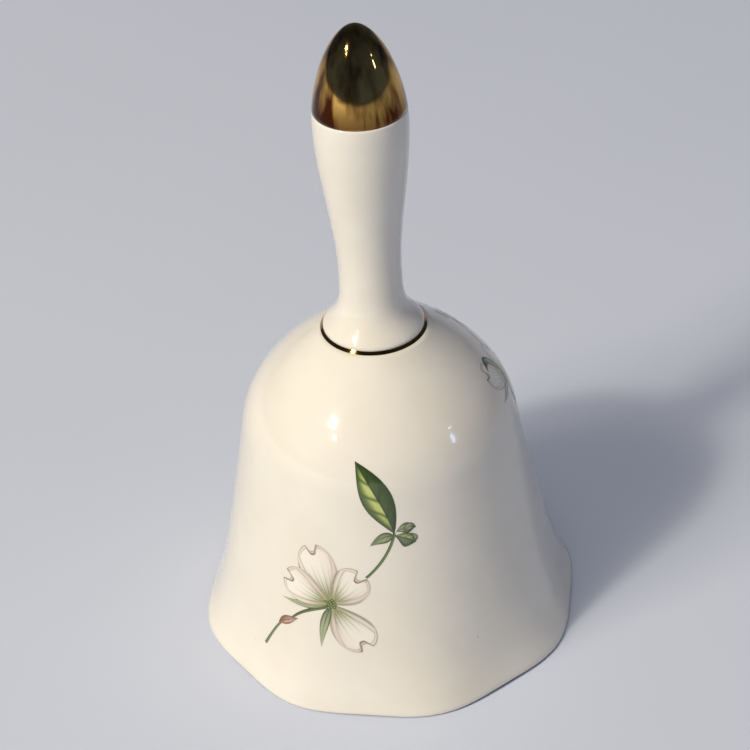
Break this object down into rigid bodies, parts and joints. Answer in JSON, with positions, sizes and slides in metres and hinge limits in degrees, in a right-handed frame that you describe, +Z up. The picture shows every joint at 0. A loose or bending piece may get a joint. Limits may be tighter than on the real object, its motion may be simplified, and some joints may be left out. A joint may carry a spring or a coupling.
{
  "type": "porcelain table bell",
  "caption": "Porcelain hand bell with a scalloped skirt, domed crown, bud-topped hollow handle with gilded tip and collar line, and a bead clapper on a short link chain.",
  "frame": {"origin": "centre of the bell's axis on the plane of its scallop feet", "axes": "+Z up the bell's axis to the point of the handle; -Y towards the viewer, so that the flower spray faces -Y and slightly -X"},
  "size_m": [0.0766, 0.0766, 0.132],
  "materials": {
    "glazed_porcelain": "gloss",
    "glazed_porcelain_handle": "gloss",
    "fired_gold_lustre": "polished",
    "fired_gold_line": "polished",
    "setting_plaster": "matte",
    "brass_eye": "satin",
    "brass_link_1": "satin",
    "brass_link_2": "satin",
    "brass_link_3": "satin",
    "brass_pin": "satin",
    "glazed_porcelain_bead": "gloss"
  },
  "bodies": {
    "bell": {"bell_body": "glazed_porcelain", "handle": "glazed_porcelain_handle", "tip_gilding": "fired_gold_lustre", "collar_band": "fired_gold_line", "crown_plug": "setting_plaster", "hanger_eye": "brass_eye"},
    "upper_link": {"link_1": "brass_link_1"},
    "middle_link": {"link_2": "brass_link_2"},
    "lower_link": {"link_3": "brass_link_3"},
    "clapper": {"clapper_pin": "brass_pin", "clapper_bead": "glazed_porcelain_bead"}
  },
  "joints": [
    {"name": "eye_to_upper_link", "type": "hinge", "parent": "bell", "child": "upper_link", "pos_m": [0, 0, 0.058], "axis": [0, 1, 0], "range_deg": [-22, 22]},
    {"name": "upper_to_middle_link", "type": "hinge", "parent": "upper_link", "child": "middle_link", "pos_m": [0, 0, 0.05014], "axis": [1, 0, 0], "range_deg": [-5, 5]},
    {"name": "middle_to_lower_link", "type": "hinge", "parent": "middle_link", "child": "lower_link", "pos_m": [0, 0, 0.04228], "axis": [0, 1, 0], "range_deg": [-17, 17]},
    {"name": "lower_link_to_clapper", "type": "hinge", "parent": "lower_link", "child": "clapper", "pos_m": [0, 0, 0.03442], "axis": [1, 0, 0], "range_deg": [-6, 6]}
  ]
}
